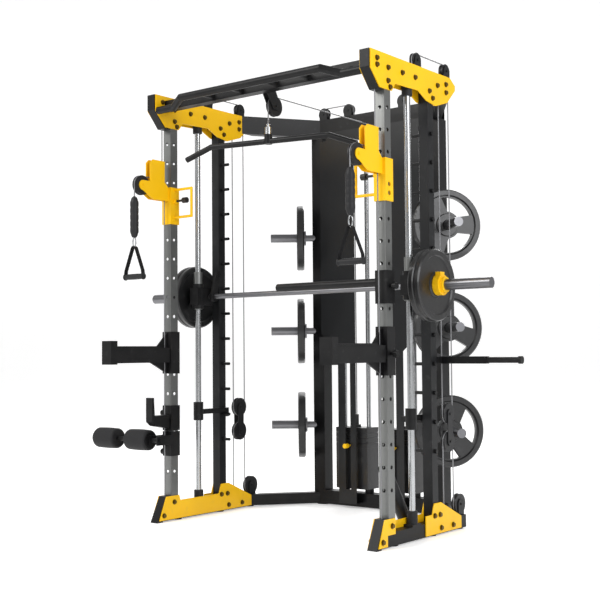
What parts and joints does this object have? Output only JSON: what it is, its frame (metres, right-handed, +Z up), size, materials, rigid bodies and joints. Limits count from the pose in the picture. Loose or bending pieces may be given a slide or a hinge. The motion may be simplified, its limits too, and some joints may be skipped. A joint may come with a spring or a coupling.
{
  "type": "smith machine",
  "caption": "Home-gym smith machine: guided bar on twin rods, cable trolleys with handles, lat bar, weight stacks, plate pegs, spotter arms and add-on grips.",
  "frame": {"origin": "on the floor at the middle of the bounding box", "axes": "+X to the machine's right as seen by a person standing in front and looking in, +Y towards its back, +Z up"},
  "size_m": [2.202, 1.4634, 2.261],
  "materials": {
    "yellow_paint": "satin powder coat",
    "black_paint": "satin powder coat",
    "graphite_paint": "satin powder coat",
    "brushed_steel": "brushed",
    "chrome": "polished",
    "rubber": "matte",
    "foam": "fine closed-cell foam",
    "black_iron": "black enamel",
    "black_plastic": "matte"
  },
  "bodies": {
    "frame": {"bases": "black_paint", "foot_plates": "yellow_paint", "end_caps": "black_paint", "floor_pads": "rubber", "posts": "brushed_steel", "uprights": "graphite_paint", "hook_pins": "black_paint", "guide_rods": "chrome", "rod_mounts": "rubber", "top_beams": "black_paint", "top_plates": "yellow_paint", "pullup_frame": "black_paint", "rear_columns": "black_paint", "rear_top_beams": "black_paint", "rear_base_beams": "black_paint", "storage_pegs": "chrome", "stored_plates": "black_iron", "stack_rods": "chrome", "stack_plates": "black_iron", "stack_guards": "graphite_paint", "frame_bolts": "brushed_steel", "pulley_brackets": "graphite_paint", "guide_pulleys": "black_plastic", "spotter_arms": "black_paint", "j_hook": "black_paint", "roller_bar": "black_paint", "anchor_bar": "black_paint", "side_handle": "black_paint", "landmine_base": "black_paint", "cable_left": "brushed_steel", "cable_right": "brushed_steel", "lat_cable": "brushed_steel"},
    "smith_carriage": {"bearing_sleeves": "brushed_steel", "carriages": "black_paint"},
    "smith_bar": {"smith_bar": "chrome", "bar_hooks": "black_paint", "bar_plates": "black_iron", "bar_collars": "yellow_paint"},
    "lat_hanger": {"lat_hanger": "chrome"},
    "lat_bar": {"lat_bar": "black_paint"},
    "rollers": {"rollers": "foam"},
    "landmine": {"landmine": "graphite_paint"},
    "low_pulleys": {"low_pulleys": "black_plastic"},
    "lat_pulley": {"lat_pulley": "black_plastic"},
    "safety_stop_left": {"safety_stop_left": "black_paint"},
    "trolley_left": {"trolley_left": "yellow_paint"},
    "trolley_pulley_left": {"trolley_pulley_left": "black_plastic"},
    "pull_pin_left": {"pull_pin_left": "black_plastic"},
    "handle_left": {"handle_left": "black_plastic"},
    "stack_head_left": {"stack_head_left": "black_iron"},
    "selector_pin_left": {"selector_pin_left": "yellow_paint"},
    "float_left": {"float_left": "black_plastic"},
    "safety_stop_right": {"safety_stop_right": "black_paint"},
    "trolley_right": {"trolley_right": "yellow_paint"},
    "trolley_pulley_right": {"trolley_pulley_right": "black_plastic"},
    "pull_pin_right": {"pull_pin_right": "black_plastic"},
    "handle_right": {"handle_right": "black_plastic"},
    "stack_head_right": {"stack_head_right": "black_iron"},
    "selector_pin_right": {"selector_pin_right": "yellow_paint"},
    "float_right": {"float_right": "black_plastic"}
  },
  "joints": [
    {"name": "smith_lift", "type": "slide", "parent": "frame", "child": "smith_carriage", "axis": [0, 0, 1], "range_m": [-0.408, 0.68]},
    {"name": "bar_turn", "type": "hinge", "parent": "smith_carriage", "child": "smith_bar", "pos_m": [0, -0.01867, 1.162], "axis": [1, 0, 0], "range_deg": [-50, 0]},
    {"name": "stop_lift_left", "type": "slide", "parent": "frame", "child": "safety_stop_left", "axis": [0, 0, 1], "range_m": [0, 0.08]},
    {"name": "trolley_slide_left", "type": "slide", "parent": "frame", "child": "trolley_left", "axis": [0, 0, 1], "range_m": [-0.3, 0.1], "deforming": ["cable_left"]},
    {"name": "trolley_wheel_turn_left", "type": "hinge", "parent": "trolley_left", "child": "trolley_pulley_left", "pos_m": [-0.666, -0.49997, 1.713], "axis": [1, 0, 0], "continuous": true},
    {"name": "pin_push_left", "type": "slide", "parent": "trolley_left", "child": "pull_pin_left", "axis": [-1, 0, 0], "range_m": [0, 0.016]},
    {"name": "stack_lift_left", "type": "slide", "parent": "frame", "child": "stack_head_left", "axis": [0, 0, 1], "range_m": [0, 0.45], "deforming": ["cable_left"]},
    {"name": "handle_pull_left", "type": "slide", "parent": "trolley_left", "child": "handle_left", "axis": [0, -0.9063, -0.4226], "range_m": [0, 0.9]},
    {"name": "float_rise_left", "type": "slide", "parent": "frame", "child": "float_left", "axis": [0, 0, 1], "range_m": [0, 0.45]},
    {"name": "selector_pull_left", "type": "slide", "parent": "stack_head_left", "child": "selector_pin_left", "axis": [0, -1, 0], "range_m": [0, 0.075]},
    {"name": "stop_lift_right", "type": "slide", "parent": "frame", "child": "safety_stop_right", "axis": [0, 0, 1], "range_m": [0, 0.08]},
    {"name": "trolley_slide_right", "type": "slide", "parent": "frame", "child": "trolley_right", "axis": [0, 0, 1], "range_m": [-0.3, 0.1], "deforming": ["cable_right"]},
    {"name": "trolley_wheel_turn_right", "type": "hinge", "parent": "trolley_right", "child": "trolley_pulley_right", "pos_m": [0.666, -0.49997, 1.713], "axis": [1, 0, 0], "continuous": true},
    {"name": "pin_push_right", "type": "slide", "parent": "trolley_right", "child": "pull_pin_right", "axis": [1, 0, 0], "range_m": [0, 0.016]},
    {"name": "stack_lift_right", "type": "slide", "parent": "frame", "child": "stack_head_right", "axis": [0, 0, 1], "range_m": [0, 0.45], "deforming": ["cable_right"]},
    {"name": "handle_pull_right", "type": "slide", "parent": "trolley_right", "child": "handle_right", "axis": [0, -0.9063, -0.4226], "range_m": [0, 0.9]},
    {"name": "float_rise_right", "type": "slide", "parent": "frame", "child": "float_right", "axis": [0, 0, 1], "range_m": [0, 0.45]},
    {"name": "selector_pull_right", "type": "slide", "parent": "stack_head_right", "child": "selector_pin_right", "axis": [0, -1, 0], "range_m": [0, 0.075]},
    {"name": "lat_pull", "type": "slide", "parent": "frame", "child": "lat_hanger", "axis": [0, 0, -1], "range_m": [0, 0.62], "deforming": ["lat_cable"]},
    {"name": "lat_turn", "type": "hinge", "parent": "lat_hanger", "child": "lat_bar", "pos_m": [0, -0.28867, 1.885], "axis": [0, 0, 1], "continuous": true},
    {"name": "roller_turn", "type": "hinge", "parent": "frame", "child": "rollers", "pos_m": [-0.666, -0.39867, 0.415], "axis": [1, 0, 0], "continuous": true},
    {"name": "landmine_tilt", "type": "hinge", "parent": "frame", "child": "landmine", "pos_m": [0.5965, -0.01867, 0.054], "axis": [1, 0, 0], "range_deg": [-35, 25]},
    {"name": "low_pulley_turn", "type": "hinge", "parent": "frame", "child": "low_pulleys", "pos_m": [0, 0.33593, 0.1175], "axis": [1, 0, 0], "continuous": true},
    {"name": "lat_pulley_turn", "type": "hinge", "parent": "frame", "child": "lat_pulley", "pos_m": [0, -0.24237, 2.064], "axis": [1, 0, 0], "continuous": true}
  ],
  "couplings": [
    {"joint": "handle_pull_left", "follows": "stack_lift_left", "ratio": 2},
    {"joint": "float_rise_left", "follows": "stack_lift_left", "ratio": 1},
    {"joint": "handle_pull_right", "follows": "stack_lift_right", "ratio": 2},
    {"joint": "float_rise_right", "follows": "stack_lift_right", "ratio": 1}
  ]
}
